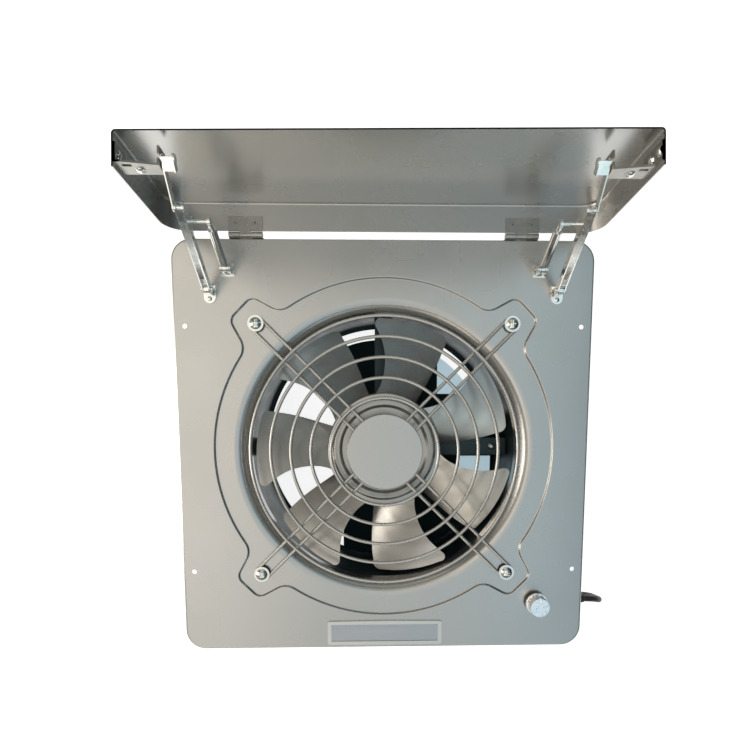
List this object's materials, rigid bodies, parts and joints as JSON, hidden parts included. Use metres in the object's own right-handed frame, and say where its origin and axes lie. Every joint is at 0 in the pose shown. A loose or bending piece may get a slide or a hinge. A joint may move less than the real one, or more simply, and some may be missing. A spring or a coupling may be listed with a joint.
{
  "type": "exhaust hood fan",
  "caption": "Square wall or hood exhaust fan with a hinged weather lid on folding stays, a wire guard, a ducted axial wheel, a speed knob and a mains lead.",
  "frame": {"origin": "fan axis at the plane of the panel rim's rear edge, which is the wall plane", "axes": "+Z out of the front along the fan axis, +Y towards the lid hinge, +X right seen from the front; the fan lies on its duct rim with the front up and the lid open"},
  "size_m": [0.4412, 0.4891, 0.5032],
  "materials": {
    "painted_panel": "satin powder coat",
    "guard_wire": "bright wire",
    "chrome": "polished",
    "duct": "gloss dark",
    "motor_case": "satin",
    "hardware": "plated",
    "core_steel": "laminated",
    "copper": "enamelled wire",
    "plastic": "matte",
    "black_rubber": "matte",
    "brass": "bright",
    "hinge": "satin",
    "fan_metal": "semi-gloss"
  },
  "bodies": {
    "housing": {"front_panel": "painted_panel", "nameplate": "painted_panel", "duct_ring": "duct", "guard_rings": "guard_wire", "guard_legs": "guard_wire", "guard_disc": "painted_panel", "guard_screws": "chrome", "guard_washers": "chrome", "motor_bracket": "duct", "bracket_tabs": "duct", "motor_front_shell": "motor_case", "motor_rear_shell": "motor_case", "motor_bearings": "hardware", "stator_core": "core_steel", "stator_windings": "copper", "speed_control": "plastic", "run_capacitor": "plastic", "cable_gland": "plastic", "strain_relief": "black_rubber", "cord_coil": "black_rubber", "cord_tie": "black_rubber", "mains_plug": "black_rubber", "plug_pins": "brass", "duct_grommet": "black_rubber", "panel_hinge_leaves": "hinge", "hinge_pins": "hinge", "arm_feet": "chrome", "strut_feet": "chrome", "stay_pins": "chrome", "control_box": "duct", "bracket_screws": "hardware", "motor_screws": "hardware", "power_cord": "black_rubber", "motor_lead": "black_rubber"},
    "rotor": {"rotor_core": "core_steel", "rotor_shaft": "hardware", "fan_hub": "fan_metal", "hub_nut": "hardware", "blade_1": "fan_metal", "blade_2": "fan_metal", "blade_3": "fan_metal", "blade_4": "fan_metal", "blade_5": "fan_metal", "blade_6": "fan_metal", "blade_7": "fan_metal"},
    "knob": {"speed_knob": "chrome", "control_shaft": "hardware"},
    "lid": {"lid_panel": "painted_panel", "lid_hinge_leaves": "hinge", "hinge_rivets": "hinge", "lid_brackets": "chrome", "lid_bracket_screws": "chrome"},
    "lower_arm_left": {"lower_arm_left": "chrome"},
    "upper_arm_left": {"upper_arm_left": "chrome"},
    "strut_cylinder_left": {"strut_cylinder_left": "chrome"},
    "strut_rod_left": {"strut_rod_left": "chrome"},
    "lower_arm_right": {"lower_arm_right": "chrome"},
    "upper_arm_right": {"upper_arm_right": "chrome"},
    "strut_cylinder_right": {"strut_cylinder_right": "chrome"},
    "strut_rod_right": {"strut_rod_right": "chrome"}
  },
  "joints": [
    {"name": "lid_hinge", "type": "hinge", "parent": "housing", "child": "lid", "pos_m": [0, 0.2028, 0.012], "axis": [1, 0, 0], "range_deg": [0, 97.3]},
    {"name": "fan_spin", "type": "hinge", "parent": "housing", "child": "rotor", "pos_m": [0, 0, -0.03], "axis": [0, 0, 1], "continuous": true},
    {"name": "speed_knob_turn", "type": "hinge", "parent": "housing", "child": "knob", "pos_m": [0.1525, -0.1535, 0.02], "axis": [0, 0, 1], "range_deg": [-140, 140]},
    {"name": "stay_foot_left", "type": "hinge", "parent": "housing", "child": "lower_arm_left", "pos_m": [-0.164, 0.152, 0.021], "axis": [1, 0, 0], "range_deg": [0, 128.1]},
    {"name": "stay_elbow_left", "type": "hinge", "parent": "lower_arm_left", "child": "upper_arm_left", "pos_m": [-0.164, 0.20125, 0.08781], "axis": [1, 0, 0], "range_deg": [-153.7, 0]},
    {"name": "strut_foot_left", "type": "hinge", "parent": "housing", "child": "strut_cylinder_left", "pos_m": [-0.147, 0.171, 0.021], "axis": [1, 0, 0], "range_deg": [0, 114.8]},
    {"name": "strut_slide_left", "type": "slide", "parent": "strut_cylinder_left", "child": "strut_rod_left", "axis": [0, 0.4939, 0.8695], "range_m": [0, 0.0305]},
    {"name": "stay_foot_right", "type": "hinge", "parent": "housing", "child": "lower_arm_right", "pos_m": [0.164, 0.152, 0.021], "axis": [1, 0, 0], "range_deg": [0, 128.1]},
    {"name": "stay_elbow_right", "type": "hinge", "parent": "lower_arm_right", "child": "upper_arm_right", "pos_m": [0.164, 0.20125, 0.08781], "axis": [1, 0, 0], "range_deg": [-153.7, 0]},
    {"name": "strut_foot_right", "type": "hinge", "parent": "housing", "child": "strut_cylinder_right", "pos_m": [0.147, 0.171, 0.021], "axis": [1, 0, 0], "range_deg": [0, 114.8]},
    {"name": "strut_slide_right", "type": "slide", "parent": "strut_cylinder_right", "child": "strut_rod_right", "axis": [0, 0.4939, 0.8695], "range_m": [0, 0.0305]}
  ],
  "couplings": [
    {"joint": "stay_foot_left", "follows": "lid_hinge", "ratio": 1.316},
    {"joint": "stay_elbow_left", "follows": "lid_hinge", "ratio": -1.5789},
    {"joint": "strut_foot_left", "follows": "lid_hinge", "ratio": 1.1786},
    {"joint": "strut_slide_left", "follows": "lid_hinge", "m_per_rad": 0.017925},
    {"joint": "stay_foot_right", "follows": "lid_hinge", "ratio": 1.316},
    {"joint": "stay_elbow_right", "follows": "lid_hinge", "ratio": -1.5789},
    {"joint": "strut_foot_right", "follows": "lid_hinge", "ratio": 1.1786},
    {"joint": "strut_slide_right", "follows": "lid_hinge", "m_per_rad": 0.017925}
  ]
}
